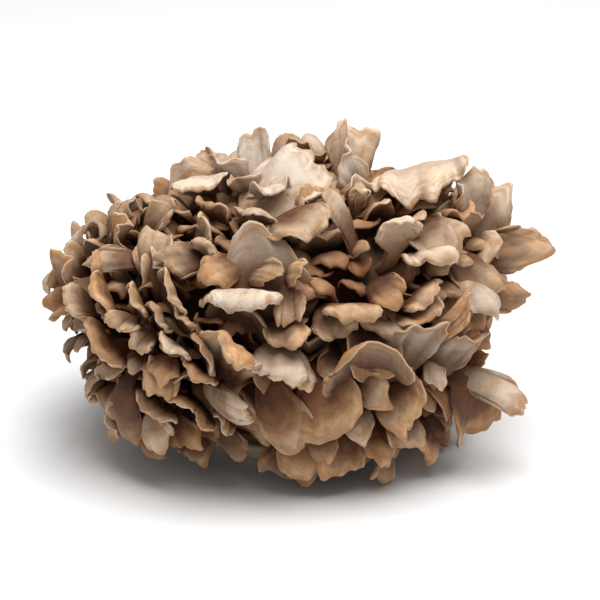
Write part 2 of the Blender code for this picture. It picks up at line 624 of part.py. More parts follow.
def fuse(body, collection):
    """Join the collection's closed skins to the body with one Boolean, then remove them."""
    union = body.modifiers.new("fronds", "BOOLEAN")
    union.operation = "UNION"
    union.operand_type = "COLLECTION"
    union.collection = collection
    union.solver = "MANIFOLD"
    graph = bpy.context.evaluated_depsgraph_get()
    fused = bpy.data.meshes.new_from_object(body.evaluated_get(graph))
    body.modifiers.remove(union)
    body.data = fused
    for skin in list(collection.objects):
        bpy.data.objects.remove(skin)
    bpy.data.collections.remove(collection)


def connected_groups(mesh):
    """The mesh's connected groups of faces."""
    left = set(mesh.faces)
    while left:
        group = []
        reached = [left.pop()]
        while reached:
            face = reached.pop()
            group.append(face)
            near = {other for edge in face.edges for other in edge.link_faces if other in left}
            left -= near
            reached.extend(near)
        yield group


def keep_outer_skin(body):
    """Keep the largest closed skin: sealed hollows are filled and loose scraps dropped."""
    mesh = bmesh.new()
    mesh.from_mesh(body.data)
    bmesh.ops.triangulate(mesh, faces=mesh.faces)
    groups = sorted(connected_groups(mesh), key=len)
    spare = [face for group in groups[:-1] for face in group]
    bmesh.ops.delete(mesh, geom=spare, context="FACES")
    mesh.to_mesh(body.data)
    mesh.free()


def flesh():
    material = bpy.data.materials.new("flesh")
    material.use_nodes = True
    shader = material.node_tree.nodes["Principled BSDF"]
    shader.inputs["Base Color"].default_value = COLOUR
    shader.inputs["Roughness"].default_value = ROUGHNESS
    return material


def build():
    for old in list(bpy.data.objects):
        bpy.data.objects.remove(old)
    scene = bpy.context.scene.collection
    fronds = outer_fronds()
    middle = outline_middle(fronds)
    points, faces = core_mesh()
    body = add_mesh("maitake", points - middle, faces, scene)
    skins = bpy.data.collections.new("fronds")
    scene.children.link(skins)
    for number, frond in enumerate(fronds):
        points, faces = solid_mesh(frond)
        add_mesh(f"frond_{number}", points - middle, faces, skins)
    fuse(body, skins)
    keep_outer_skin(body)
    body.data.materials.clear()
    body.data.materials.append(flesh())


build()
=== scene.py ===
"""The looks of a maitake mushroom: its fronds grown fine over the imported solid, with their materials.

The fronds stand where the part's own stand, by the same rules. Lengths below are in millimetres and
angles in degrees; the meshes are in metres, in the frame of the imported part.
"""

import math

import bpy
import numpy as np
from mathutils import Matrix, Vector

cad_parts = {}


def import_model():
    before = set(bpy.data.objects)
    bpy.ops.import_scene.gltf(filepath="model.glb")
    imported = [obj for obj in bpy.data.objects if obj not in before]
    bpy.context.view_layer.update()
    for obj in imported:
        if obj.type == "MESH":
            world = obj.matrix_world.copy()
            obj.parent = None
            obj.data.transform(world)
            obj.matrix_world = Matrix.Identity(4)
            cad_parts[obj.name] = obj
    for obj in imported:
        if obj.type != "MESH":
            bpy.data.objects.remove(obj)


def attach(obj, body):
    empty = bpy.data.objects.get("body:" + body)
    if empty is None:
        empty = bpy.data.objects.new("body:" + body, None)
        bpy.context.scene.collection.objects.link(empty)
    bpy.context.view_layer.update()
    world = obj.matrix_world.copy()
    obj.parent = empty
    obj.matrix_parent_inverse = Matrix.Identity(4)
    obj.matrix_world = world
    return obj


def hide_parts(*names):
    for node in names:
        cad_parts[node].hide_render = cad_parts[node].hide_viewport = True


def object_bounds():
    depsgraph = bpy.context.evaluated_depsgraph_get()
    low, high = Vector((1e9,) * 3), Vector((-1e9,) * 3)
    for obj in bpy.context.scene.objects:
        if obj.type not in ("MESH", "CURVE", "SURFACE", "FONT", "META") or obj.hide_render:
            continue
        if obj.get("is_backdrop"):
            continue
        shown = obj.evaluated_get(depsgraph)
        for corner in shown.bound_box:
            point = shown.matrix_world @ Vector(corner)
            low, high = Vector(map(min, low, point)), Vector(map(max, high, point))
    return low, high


MM = 0.001
NODE = "maitake"
BODY = "root"

# The dome that the frond tips reach, round the heart of the cluster.
HEART = 62.0            # height above the table
HALF_WIDTH = 91.0
HALF_DEPTH = 77.0
CROWN_RISE = 51.0
SKIRT_DROP = 61.0
LEAN = 0.12             # the crown stands this much higher on the +X side, and lower on the other
PLAN_POWER = 2.3        # 2 would be an ellipse, and more is squarer
CROWN_POWER = 2.4
SKIRT_POWER = 3.7
# Where the dome swells or sinks: longitude, latitude, angular radius, millimetres outward.
SWELLS = [
    (88, 20, 24, 10),
    (-62, -36, 16, 4),
    (88, -14, 14, -26),
    (82, -27, 13, 5),
    (-88, -28, 20, -20),
    (20, 20, 10, -4),
    (150, 10, 25, -9),
    (-150, -12, 22, -8),
    (178, -5, 26, 4),
    (120, -30, 18, -7),
    (-116, 32, 20, -12),
    (113, 40, 18, -12),
    (-20, -42, 15, -9),
    (32, -40, 12, 6),
    (-86, 12, 12, 5),
]

# Every frond: a stem from the heart of the cluster, widening into a fan-shaped cap.
HIDDEN = 0.5            # cap length under its neighbours, as a share of the length that shows
SPREAD = 102.0          # half angle of the cap's rounded margin
FAN_RADIUS = 0.46       # radius of that margin, as a share of the cap's length
BLUNT = 0.64            # and at most this share of the cap's width, so that narrow caps end bluntly
OPENING = 1.6           # 1 widens evenly from neck to margin, and more opens sooner
SKEW = 0.12             # the most that one side of the margin runs ahead of the other
LOBES = [(0.08, 2.6), (0.06, 6.3), (0.04, 13.0), (0.026, 21.0)]     # share of the radius, and rate across
RIPPLES = [(1.0, 1.0), (0.35, 2.3), (0.14, 4.1)]    # share of the wave, and rate across
RIPPLE_GROWTH = 1.7     # the waves grow from the neck to the margin by this power
CURL_STARTS = 0.72      # share of the cap's length where the margin starts to turn down
NECK_THICK = 1.5        # of the frond's thickness, at the neck
RIM_THICK = 0.82        # and at the margin
STEM_HALF_WIDTH = 5.0
STEM_BEND = 14.0        # the most that a stem runs straight on from its cap's neck
ROOT_HEIGHT = 40.0
ROOT_DEPTH = 0.5        # a stem starts this far out from the heart towards its cap
LOWEST = 1.0            # no frond reaches lower than this; the cut base stands on the table

# The kinds of frond: how far the tip stands out from the dome, how far the cap is cupped across, bent
# along its length and curled at the margin, its wave's height, and its rise out of the neck.
KINDS = {
    "scale": dict(tilt=44, cup=-35, bend=46, curl=34, wave=2.3, inner=45),
    "spoon": dict(tilt=14, cup=85, bend=8, curl=0, wave=2.0, inner=60),
    "fan": dict(tilt=42, cup=88, bend=24, curl=34, wave=3.0, inner=-20, neck=0.3, under=True),
    "lip": dict(tilt=68, cup=-20, bend=44, curl=64, wave=1.6, inner=10, thick=2.8),
    "leaf": dict(tilt=56, cup=-40, bend=28, curl=20, wave=1.6, inner=30, neck=0.5),
    "slab": dict(tilt=16, cup=-22, bend=30, curl=46, wave=3.2, inner=60),
    "upright": dict(tilt=66, cup=50, bend=-15, curl=20, wave=3.0, inner=-5),
    "blade": dict(tilt=104, cup=-22, bend=22, curl=26, wave=1.5, inner=25, neck=0.7, thick=2.1),
    "frill": dict(tilt=30, cup=45, bend=4, curl=20, wave=2.8, inner=30, thick=1.7, waves=4.0),
}

# The grid of the part's own caps, whose outline sets the middle: stem rows, steps to the margin and across.
BROAD = 19.0            # caps this wide or wider get the finer of the two grids
BROAD_GRID = (1, (0.4, 1.0), (-1.0, -0.42, 0.42, 1.0))
NARROW_GRID = (1, (0.35, 1.0), (-1.0, 0.0, 1.0))


class Frond:
    """One stem and cap: where it sits on the dome, the way its tip points, its size and its form."""

    def __init__(self, kind, lon, lat, roll, length, width, seed, **changes):
        self.lon = lon
        self.lat = lat
        self.roll = roll
        self.length = length
        self.width = width
        self.seed = seed
        self.out = 0.0          # millimetres out from the dome
        self.twist = 0.0        # degrees about its own length
        self.waves = 3.0        # quarter waves across half its width
        self.thick = 1.7
        self.neck = 0.36        # width at the neck, as a share of the cap's
        self.point = 0.0        # how far the margin draws in at its sides, so that its tip is pointed
        self.ragged = 1.0       # how uneven the margin is
        self.under = False      # True if it shows its under face
        # The darker tone is random on most fronds, and on some that lie in hollows it is painted shade.
        self.tone = 0.0         # how much darker than the rest
        self.pale = 0.0         # how much paler
        for name, value in {**KINDS[kind], **changes}.items():
            setattr(self, name, value)


def unit(vector):
    return vector / np.linalg.norm(vector)


def smooth(x):
    x = np.clip(x, 0.0, 1.0)
    return x * x * (3.0 - 2.0 * x)


def turned(vector, axis, degrees):
    angle = math.radians(degrees)
    along = axis * (axis @ vector) * (1.0 - math.cos(angle))
    return vector * math.cos(angle) + np.cross(axis, vector) * math.sin(angle) + along


def ray_towards(lon, lat):
    lon = math.radians(lon)
    lat = math.radians(lat)
    return np.array([math.sin(lon) * math.cos(lat), -math.cos(lon) * math.cos(lat), math.sin(lat)])


def swelling(ray):
    total = 0.0
    for lon, lat, radius, height in SWELLS:
        angle = math.degrees(math.acos(np.clip(ray @ ray_towards(lon, lat), -1.0, 1.0)))
        total += height * math.exp(-((angle / radius) ** 2))
    return total


def dome_point(lon, lat, out=0.0):
    """A point of the dome. Longitude 0 faces -Y and grows towards +X; latitude is seen from the heart."""
    ray = ray_towards(lon, lat)
    wide = abs(ray[0] / HALF_WIDTH) ** PLAN_POWER
    deep = abs(ray[1] / HALF_DEPTH) ** PLAN_POWER
    plan = (wide + deep) ** (1 / PLAN_POWER)
    crown = ray[2] > 0
    rise = CROWN_RISE * (1 + LEAN * ray[0]) if crown else SKIRT_DROP
    power = CROWN_POWER if crown else SKIRT_POWER
    radius = (plan**power + abs(ray[2] / rise) ** power) ** (-1 / power)
    return ray * (radius + swelling(ray) + out) + np.array([0.0, 0.0, HEART])


def dome_frame(lon, lat):
    """The outward, upward and rightward directions on the dome, as seen from outside."""
    step = 0.5
    east = dome_point(lon + step, lat) - dome_point(lon - step, lat)
    up = unit(dome_point(lon, lat + step) - dome_point(lon, lat - step))
    outward = unit(np.cross(east, up))
    return outward, up, np.cross(up, outward)


def cap_axes(frond):
    """The directions along the cap, out of its upper face, and across it, at the middle of what shows."""
    outward, up, right = dome_frame(frond.lon, frond.lat)
    roll = math.radians(frond.roll)
    tilt = math.radians(frond.tilt)
    heading = up * math.cos(roll) + right * math.sin(roll)
    along = heading * math.cos(tilt) + outward * math.sin(tilt)
    face = outward * math.cos(tilt) - heading * math.sin(tilt)
    if frond.under:
        face = -face
    face = turned(face, along, frond.twist)
    return along, face, np.cross(face, along)


def spine(frond):
    """The cap's centre line: distance from the neck, place along the cap, rise and downward turn."""
    reach = frond.length * (1.0 + HIDDEN)
    middle = reach - 0.5 * frond.length
    s = np.linspace(0.0, 1.15 * reach, 60)
    rising = -frond.inner * (1.0 - s / middle)
    falling = frond.bend * (s - middle) / (reach - middle)
    turn = np.where(s < middle, rising, falling)
    turn += frond.curl * smooth((s / reach - CURL_STARTS) / (1.0 - CURL_STARTS))
    turn = np.radians(turn)
    step = np.diff(s)
    along = np.concatenate([[0.0], np.cumsum(np.cos(turn[:-1]) * step)])
    rise = np.concatenate([[0.0], np.cumsum(-np.sin(turn[:-1]) * step)])
    return s, along - np.interp(middle, s, along), rise - np.interp(middle, s, rise), turn


def margin(frond, v, phases, skew):
    """How far along and across the cap its margin lies, for each v."""
    swings = [share * np.sin(rate * v + phase) for (share, rate), phase in zip(LOBES, phases)]
    lobes = 1.0 + frond.ragged * sum(swings)
    reach = frond.length * (1.0 + HIDDEN)
    radius = min(FAN_RADIUS * reach, BLUNT * frond.width)
    angle = v * math.radians(SPREAD)
    along = (reach - radius) + radius * np.cos(angle) * lobes + skew * reach * np.sin(angle)
    across = frond.width / 2 * np.sin(angle) * (0.85 + 0.15 * lobes)
    return along * (1.0 - frond.point * smooth(1.4 * np.abs(v))), across


def cupped(frond, u, flat, local):
    """The cap's section at u, bent round: place across and rise, for each flat place across."""
    half = math.radians(frond.cup) / 2 * smooth(u * 1.4 + 0.1)
    half = np.where(np.abs(half) < 1e-4, 1e-4, half)
    bow = flat / local * half
    return local * np.sin(bow) / half, local * (1.0 - np.cos(bow)) / half


def cap_surface(frond, u, v):
    """Points of the cap's middle surface: u runs from 0 at the neck to 1 at the margin, v from -1 to 1."""
    draw = np.random.default_rng(frond.seed)
    broad, ripples, fine = draw.uniform(0.0, 2.0 * math.pi, (3, 2))
    skew = draw.uniform(-SKEW, SKEW)
    margin_along, margin_across = margin(frond, v, (*broad, *fine), skew)
    opening = 1.0 - (1.0 - np.clip(u, 0.0, 1.0)) ** OPENING
    neck_across = frond.width / 2 * frond.neck * v
    flat = neck_across + (margin_across - neck_across) * opening
    local = frond.width / 2 * (frond.neck + (1.0 - frond.neck) * opening)
    y, z = cupped(frond, u, flat, local)
    height = frond.wave * np.clip(u, 0.0, 1.0) ** RIPPLE_GROWTH
    for (share, rate), phase in zip(RIPPLES, (*ripples, fine[1])):
        z += share * height * np.sin(rate * frond.waves * v * math.pi / 2 + phase)
    s, run, rise, turn = spine(frond)
    at = margin_along * u
    turn = np.interp(at, s, turn)
    run = np.interp(at, s, run) + z * np.sin(turn)
    rise = np.interp(at, s, rise) + z * np.cos(turn)
    along, face, across = cap_axes(frond)
    place = dome_point(frond.lon, frond.lat, frond.out)
    return place + run[..., None] * along + rise[..., None] * face + y[..., None] * across


def torn(frond, u, v):
    """What u is multiplied by, so that the margin is notched and frayed, column by column."""
    draw = np.random.default_rng(frond.seed + TORN_SEED)
    teeth = np.sin(NOTCH_RATE * v + draw.uniform(0.0, PHASES))
    notches = smooth(2.0 * teeth * np.sin(NOTCH_BEAT * NOTCH_RATE * v + 1.0))
    frayed = draw.uniform(*FRAYING, v.shape[1])
    size = min(MOST_TORN, frond.width / COMMON_WIDTH)
    lost = (NOTCH_DEPTH * notches + FRAY_DEPTH * frayed) * size / frond.length
    return 1.0 - lost * smooth((u - TORN_FROM) / (1.0 - TORN_FROM))


def wrinkles(frond, u, v):
    """How far the cap's surface stands out in its fine wrinkles, in millimetres."""
    draw = np.random.default_rng(frond.seed + TORN_SEED)
    rise = 0.0
    for mm, across, up, bending in WRINKLES:
        first, second = draw.uniform(0.0, PHASES, 2)
        wander = bending * np.sin(WANDER_ALONG * u + WANDER_ACROSS * v + first)
        rise = rise + mm * np.sin(across * v + up * u + wander + second)
    return rise * smooth(1.6 * u) * min(MOST_WRINKLED, frond.width / COMMON_WIDTH)


def cap_rows(frond, us, vs):
    """The cap's points, face normals and half thicknesses, a row for each u; fine caps are worn."""
    u, v = np.meshgrid(np.asarray(us, float), np.asarray(vs, float), indexing="ij")
    fine = len(vs) == FINE_COLUMNS
    points = cap_surface(frond, u * torn(frond, u, v) if fine else u, v)
    step = 1e-3
    du = cap_surface(frond, u + step, v) - cap_surface(frond, u - step, v)
    dv = cap_surface(frond, u, v + step) - cap_surface(frond, u, v - step)
    normals = np.cross(du, dv)
    normals /= np.linalg.norm(normals, axis=-1, keepdims=True)
    if fine:
        points = points + normals * wrinkles(frond, u, v)[..., None]
    half_thick = frond.thick * (NECK_THICK + (RIM_THICK - NECK_THICK) * u) / 2
    rounding = np.sqrt(np.clip(1 - np.abs(v) ** 8, 0, 1)) * np.sqrt(np.clip(1 - u**16, 0, 1))
    return points, normals, half_thick * rounding


def stem_rows(frond, count, vs):
    """The stem's points, normals and half thicknesses, from its root deep in the cluster to the neck."""
    along, face, across = cap_axes(frond)
    lift = math.radians(frond.inner)
    heading = along * math.cos(lift) + face * math.sin(lift)
    neck = cap_surface(frond, np.array([0.0]), np.array([0.0]))[0]
    heart = np.array([0.0, 0.0, ROOT_HEIGHT])
    root = heart + (dome_point(frond.lon, frond.lat) - heart) * ROOT_DEPTH
    bend = neck - heading * min(0.45 * np.linalg.norm(neck - root), STEM_BEND)
    neck_half = frond.width / 2 * frond.neck
    neck_thick = frond.thick * NECK_THICK * 0.58
    points, normals, half_thick = [], [], []
    vs = np.asarray(vs, float)
    for t in np.linspace(0.0, 1.0, count + 1)[:-1]:
        centre = (1 - t) ** 2 * root + 2 * t * (1 - t) * bend + t * t * neck
        tangent = unit((1 - t) * (bend - root) + t * (neck - bend))
        side = unit(across - (across @ tangent) * tangent)
        half = min(neck_half, STEM_HALF_WIDTH) * (1 - t) + neck_half * t
        points.append(centre + (vs * half)[:, None] * side)
        normals.append(np.repeat(np.cross(tangent, side)[None], len(vs), 0))
        half_thick.append(np.sqrt(np.clip(1 - vs**2, 0, 1)) * neck_thick * (1.15 - 0.15 * t))
    return np.array(points), np.array(normals), np.array(half_thick)


def skin_faces(upper, under):
    """Triangles over the two faces of a frond and its root, split alike on both faces."""
    half = (upper.shape[1] - 1) // 2
    faces = []
    for grid, order in ((upper, 1), (under, -1)):
        a, b, c, d = grid[:-1, :-1], grid[1:, :-1], grid[1:, 1:], grid[:-1, 1:]
        for corners in ((a, b, d), (b, c, d)):
            faces.append(np.stack(corners, -1)[:, :half].reshape(-1, 3)[:, ::order])
        for corners in ((a, b, c), (a, c, d)):
            faces.append(np.stack(corners, -1)[:, half:].reshape(-1, 3)[:, ::order])
    ring = list(upper[0]) + list(under[0, ::-1][1:-1])
    faces.append(np.array([(ring[0], ring[i], ring[i + 1]) for i in range(1, len(ring) - 1)]))
    return np.concatenate(faces)


def frond_mesh(frond, stem, us, vs):
    """One closed skin: points, triangles, and each point's u, v and side (+1 upper, -1 under)."""
    stem_points, stem_normals, stem_thick = stem_rows(frond, stem, vs)
    cap_points, cap_normals, cap_thick = cap_rows(frond, us, vs)
    middle = np.concatenate([stem_points, cap_points])
    offset = np.concatenate([stem_normals * stem_thick[..., None], cap_normals * cap_thick[..., None]])
    rows, columns = middle.shape[:2]
    rim = np.zeros((rows, columns), bool)
    rim[:, 0] = rim[:, -1] = rim[-1] = True
    offset[rim] = 0.0
    upper = np.arange(rows * columns).reshape(rows, columns)
    under = np.where(rim, upper, upper + rows * columns)
    faces = skin_faces(upper, under)
    used, index = np.unique(faces, return_inverse=True)
    points = np.concatenate([(middle + offset).reshape(-1, 3), (middle - offset).reshape(-1, 3)])[used]
    points[:, 2] += max(0.0, LOWEST - points[:, 2].min())
    u = np.concatenate([np.linspace(-0.5, 0.0, stem + 1)[:-1], us])
    u = np.repeat(u, columns)
    v = np.tile(vs, rows)
    side = np.where(rim, 0.0, 1.0).ravel()
    marks = np.stack([np.tile(u, 2), np.tile(v, 2), np.concatenate([side, -side])], -1)[used]
    return points, index.reshape(faces.shape), marks


def solid_mesh(frond):
    """The frond's points and triangles as the solid has them, with few faces."""
    grid = BROAD_GRID if frond.width >= BROAD else NARROW_GRID
    points, faces, _ = frond_mesh(frond, *grid)
    return points, faces
# Fronds placed one by one: kind, longitude, latitude, tip direction (0 up, 90 right), length, width,
# changes to the kind.
LANDMARKS = [
    # crown
    ("slab", 70, 43, 246, 29, 39, dict(out=7, tilt=-6, twist=22, pale=0.9, wave=2.6, waves=6, ragged=2.2,
                                       bend=20, curl=30, cup=-14, neck=0.75)),
    ("upright", 20, 80, 62, 27, 40, dict(out=3, tilt=22, pale=0.9, cup=-14, bend=12, inner=10,
                                         ragged=2.2)),
    ("upright", -146, 70, 218, 14, 13, dict(out=5, tilt=66, pale=1.0, cup=30, point=-0.3, neck=0.9,
                                            wave=1.0, ragged=0.6, curl=0)),
    ("upright", 118, 60, 80, 18, 25, dict(out=7, cup=36, pale=0.7, ragged=1.3, point=-0.3, wave=3.6,
                                          waves=4)),
    ("fan", 80, 63, 20, 17, 20, dict(out=4, tilt=52, cup=60, pale=0.4)),
    ("slab", -73, 55, 112, 18, 23, dict(out=5, tilt=-2, pale=1.0, cup=-12, bend=30, curl=26, wave=1.2)),
    ("upright", -109, 47, 240, 15, 28, dict(out=6, tilt=70, pale=0.5, cup=-20, point=0.35, neck=0.8,
                                            curl=0)),
    ("slab", -6, 62, 160, 14, 17, dict(out=6, pale=1.0, point=0.3)),
    ("upright", 150, 74, 0, 10, 20, dict(out=3, tilt=54, tone=0.5)),
    ("upright", 87, 26, 92, 23, 25, dict(tilt=58, cup=-20, bend=14, inner=10, pale=0.35, out=2, ragged=2.2,
                                         wave=4.0)),
    ("scale", 104, 26, 185, 18, 20, dict(out=6, tilt=46, pale=0.7)),
    ("lip", 50, 51, 190, 9, 9, dict(pale=0.9)),
    ("leaf", 33, 47, 350, 20, 13, dict(tilt=44, twist=30, cup=-60, pale=0.2)),
    ("upright", 26, 60, 20, 12, 14, dict(out=-2)),
    # upper band
    ("scale", 9, 43, 145, 21, 28, dict(tilt=12, cup=-40, out=4, curl=22)),
    ("fan", -10, 34, 342, 26, 48, dict(cup=36, wave=2.0, bend=22, tilt=30, neck=0.8, point=0.75, curl=20)),
    ("scale", -22, 26, 215, 16, 17, dict(tilt=24, out=2)),
    ("leaf", -6, 27, 118, 22, 12, dict(tilt=50, tone=0.3)),
    ("leaf", 4, 27, 130, 18, 11, dict(tilt=72, twist=18)),
    ("lip", 44, 34, 203, 12, 19, dict(pale=1.0, out=4, tilt=96, cup=-10, point=-0.1, thick=2.4)),
    ("scale", 56, 28, 188, 21, 28, dict(tilt=26, out=2, ragged=2.0, wave=3.2)),
    ("scale", 70, 30, 200, 15, 16, dict()),
    ("lip", 48, 24, 198, 14, 21, dict(tilt=66, pale=0.8, out=4, cup=-30, wave=2.6)),
    ("scale", 62, 12, 172, 20, 24, dict(tilt=30, tone=0.2, ragged=2.0, wave=3.4)),
    ("scale", 79, 14, 108, 25, 19, dict(tilt=60, cup=-50, out=7, pale=0.3, neck=0.6, point=0.3,
                                        ragged=2.2, wave=3.6, curl=44)),
    ("scale", 58, 9, 165, 15, 16, dict(tilt=40, pale=0.9, out=4)),
    ("leaf", 70, 5, 95, 18, 13, dict(tilt=60, tone=0.2, out=2)),
    ("blade", 43, 15, 158, 14, 20, dict(tilt=84, pale=0.2)),
    ("blade", 40, 10, 158, 14, 20, dict(tilt=84)),
    ("scale", 33, 17, 150, 14, 16, dict(tilt=40, tone=0.4)),
    # middle band
    ("lip", -10, 19, 177, 15, 28, dict(out=6, tilt=74, pale=1.0, cup=0, wave=1.0, thick=4.2, point=-0.2)),
    ("scale", 3, 15, 180, 14, 12, dict(tilt=20)),
    ("lip", 21, 14, 188, 13, 22, dict(tilt=72, pale=0.4, cup=0, wave=1.0, thick=3.6, out=3, point=-0.14)),
    ("scale", 17, 10, 150, 13, 18, dict(tilt=28)),
    ("fan", -14, 4, 22, 34, 28, dict(cup=60, bend=60, out=4, thick=2.4, twist=-14)),
    ("scale", 2, 8, 176, 12, 18, dict(tilt=52, out=1)),
    ("lip", 0, 0, 188, 14, 29, dict(tilt=70, cup=-80, wave=2.6, waves=4, out=6, pale=0.6, thick=2.2)),
    ("lip", 6, -5, 170, 9, 10, dict(tilt=60, cup=-60, wave=1.6, out=2, pale=0.4)),
    ("spoon", -2, -8, 180, 16, 18, dict(out=-7, tone=0.8)),
    # Painted shade: the darker tone of this hooded fan and of the spoon after it stands for the shade in
    # their hollow.
    ("fan", 22, 2, 352, 21, 42, dict(tilt=34, cup=-110, bend=36, out=3, wave=2.4, thick=2.2, neck=0.5,
                                     tone=0.8)),
    ("spoon", 27, -1, 180, 22, 24, dict(out=-3, tone=0.7)),
    ("fan", 38, 3, 25, 24, 24, dict(tilt=22, bend=30, out=2)),
    ("leaf", 48, 5, 50, 30, 9, dict(tilt=25, neck=0.6)),
    ("fan", 53, -3, 40, 20, 21, dict(tilt=18)),
    ("lip", 62, -14, 162, 29, 15, dict(tilt=88, cup=-40, out=6, pale=0.7, bend=12, curl=30, point=-0.1,
                                       wave=1.8)),
    ("scale", 59, -25, 165, 20, 27, dict(cup=60, out=3, tone=0.4, tilt=14, curl=0, bend=10)),
    ("scale", 44, -8, 180, 9, 9, dict(pale=0.6, out=2)),
    # lower front
    ("scale", 14, -16, 158, 23, 29, dict(out=4, tilt=18, wave=1.0, ragged=0.7)),
    ("scale", 3, -20, 146, 24, 22, dict(out=3, tilt=14, wave=1.5)),
    ("scale", 26, -10, 110, 14, 16, dict(out=1)),
    ("scale", 35, -15, 150, 19, 22, dict(wave=3.2, out=2)),
    ("scale", 22, -20, 160, 14, 14, dict()),
    ("scale", 18, -32, 180, 15, 20, dict(out=2)),
    ("scale", 6, -33, 170, 16, 22, dict(out=3)),
    ("scale", 12, -28, 170, 11, 14, dict()),
    ("scale", 30, -28, 170, 12, 13, dict()),
    ("scale", 38, -25, 165, 12, 16, dict()),
    ("scale", 2, -38, 180, 15, 24, dict(out=5, tone=0.7)),
    ("scale", 50, -32, 200, 10, 10, dict(out=2)),
    # lower left
    ("leaf", -13, -11, 102, 16, 10, dict(out=7, tilt=36, pale=0.35, thick=3.4, cup=-24, point=-0.2,
                                         curl=40, wave=0.6)),
    ("scale", -32, -3, 185, 9, 13, dict(out=4, tilt=60, thick=2.8)),
    ("scale", -33, -8, 190, 13, 15, dict(out=3, tilt=26, thick=2.6, twist=-16)),
    ("blade", -36, -16, 215, 12, 20, dict()),
    ("blade", -28, -13, 205, 10, 13, dict()),
    ("scale", -47, -22, 186, 19, 16, dict(tilt=6, tone=0.5, out=1)),
    ("slab", -36, -24, 160, 11, 16, dict(pale=0.7, tilt=20, out=3)),
    ("scale", -29, -28, 150, 12, 13, dict(tone=0.4, tilt=30)),
    ("blade", -16, -20, 240, 10, 11, dict()),
    ("blade", -22, -19, 235, 10, 12, dict()),
    ("blade", -28, 4, 215, 11, 15, dict(out=5, pale=0.4)),
    ("blade", -20, 2, 245, 10, 19, dict(out=2)),
    ("blade", -22, -3, 215, 11, 17, dict(out=3)),
    ("scale", -16, -32, 155, 12, 13, dict(out=2, tone=0.6, tilt=30)),
    ("scale", -42, -30, 150, 12, 14, dict(out=1, tone=0.3, tilt=30)),
    ("scale", -44, 7, 200, 8, 13, dict(out=4, tilt=66, thick=2.6, pale=0.2)),
    ("scale", -38, 3, 205, 8, 10, dict(out=4, tilt=62, thick=2.6)),
    ("blade", -50, 0, 220, 12, 24, dict(out=3, thick=2.8)),
    # upper left
    ("scale", -38, 28, 222, 17, 19, dict(tilt=26, tone=0.2)),
    ("frill", -60, 38, 10, 15, 13, dict(out=2)),
    ("blade", -36, 40, 224, 13, 18, dict(pale=0.3)),
    ("leaf", -60, 20, 222, 18, 12, dict(tilt=30, out=2)),
    ("blade", -52, 12, 222, 13, 22, dict(out=3)),
    ("frill", -74, 12, 340, 14, 15, dict(out=3)),
    ("blade", -32, 18, 224, 12, 23, dict(out=2)),
    ("blade", -28, 12, 220, 10, 13, dict(out=1)),
    ("blade", -34, 11, 220, 10, 14, dict(out=2)),
    ("blade", -42, 14, 218, 11, 16, dict(out=2)),
    ("lip", -30, 33, 190, 8, 11, dict(pale=0.8, out=2)),
    ("frill", -78, 30, 350, 14, 12, dict(out=2)),
    ("frill", -68, 27, 20, 12, 12, dict(tilt=45)),
    ("scale", -66, 43, 185, 14, 17, dict(tone=0.4, out=1)),
    ("lip", -46, 50, 180, 11, 17, dict(thick=2.4, tone=0.4)),
    ("blade", -59, 17, 228, 11, 16, dict(out=2)),
    ("blade", -62, 8, 214, 12, 18, dict(out=3)),
    ("frill", -70, 3, 200, 12, 15, dict(out=3, tilt=50)),
    ("scale", -128, 26, 190, 12, 16, dict()),
    ("frill", 78, 33, 40, 14, 21, dict(out=7, tilt=40, pale=0.4, wave=3.4)),
    ("frill", 88, 12, 70, 13, 17, dict(out=6, tilt=55, wave=3.0)),
]
# Deep gaps that stay open between the fronds: longitude, latitude, radius.
GAPS = [(22, 25, 8), (27, 35, 5), (-33, 12, 4)]
LOWEST_LATITUDE = -42
CROWN_LATITUDE = 52
SKIRT_LATITUDE = -20
FILL_SPACING = 16.0     # between the middles of the fronds that follow the rule
FILL_SEED = 5


def landmark_fronds():
    fronds = []
    for seed, (kind, lon, lat, roll, length, width, changes) in enumerate(LANDMARKS):
        fronds.append(Frond(kind, lon, lat, roll, length, width, seed, **changes))
    return fronds


def bump(x, middle, reach):
    return math.exp(-(((x - middle) / reach) ** 2))


def fineness(lon, lat):
    """1 on the left flank, where the fronds are small and crowded, 0 elsewhere."""
    return bump(lon, -58, 44) * bump(lat, -5, 38)


def slanting(lon, lat):
    """1 on the left of the front, where the fronds stand on edge and slant, 0 elsewhere."""
    return bump(lon, -42, 25) * bump(lat, 0, 22)


def frilling(lon, lat):
    """1 high on the left flank, where small ruffled fronds stand up, 0 elsewhere."""
    return bump(lon, -78, 28) * bump(lat, 24, 15)


def flow(lon, lat):
    """The way the tips point, so that neighbours overlap alike: down, veering from side to side."""
    turn = math.radians(lon)
    return 180 + 20 * math.sin(2 * turn + 0.9) + 14 * math.sin(5 * turn + lat / 18)


def rule_kind(lon, lat, draw):
    if lat > CROWN_LATITUDE:
        return "slab" if draw.random() < 0.62 else "upright"
    if draw.random() < 0.8 * slanting(lon, lat):
        return "blade"
    if draw.random() < 0.8 * frilling(lon, lat):
        return "frill"
    pick = draw.random()
    if lat < SKIRT_LATITUDE or pick < 0.52:
        return "scale"
    if pick < 0.66:
        return "fan"
    return "lip" if pick < 0.82 else "leaf"


def rule_pose(kind, lon, lat, draw):
    """The tip's direction and the tilt of a frond that follows the rule."""
    tilt = KINDS[kind]["tilt"] + draw.uniform(-16, 22)
    if lat > CROWN_LATITUDE:
        return 180 + draw.normal(0, 60), tilt
    if kind == "blade":
        return draw.normal(212, 13), KINDS[kind]["tilt"] + draw.uniform(-14, 14)
    if kind == "frill":
        return draw.normal(350, 40), tilt
    if kind == "fan":
        return draw.normal(0, 22), tilt
    return flow(lon, lat) + draw.normal(0, 15), tilt + 10 * fineness(lon, lat)


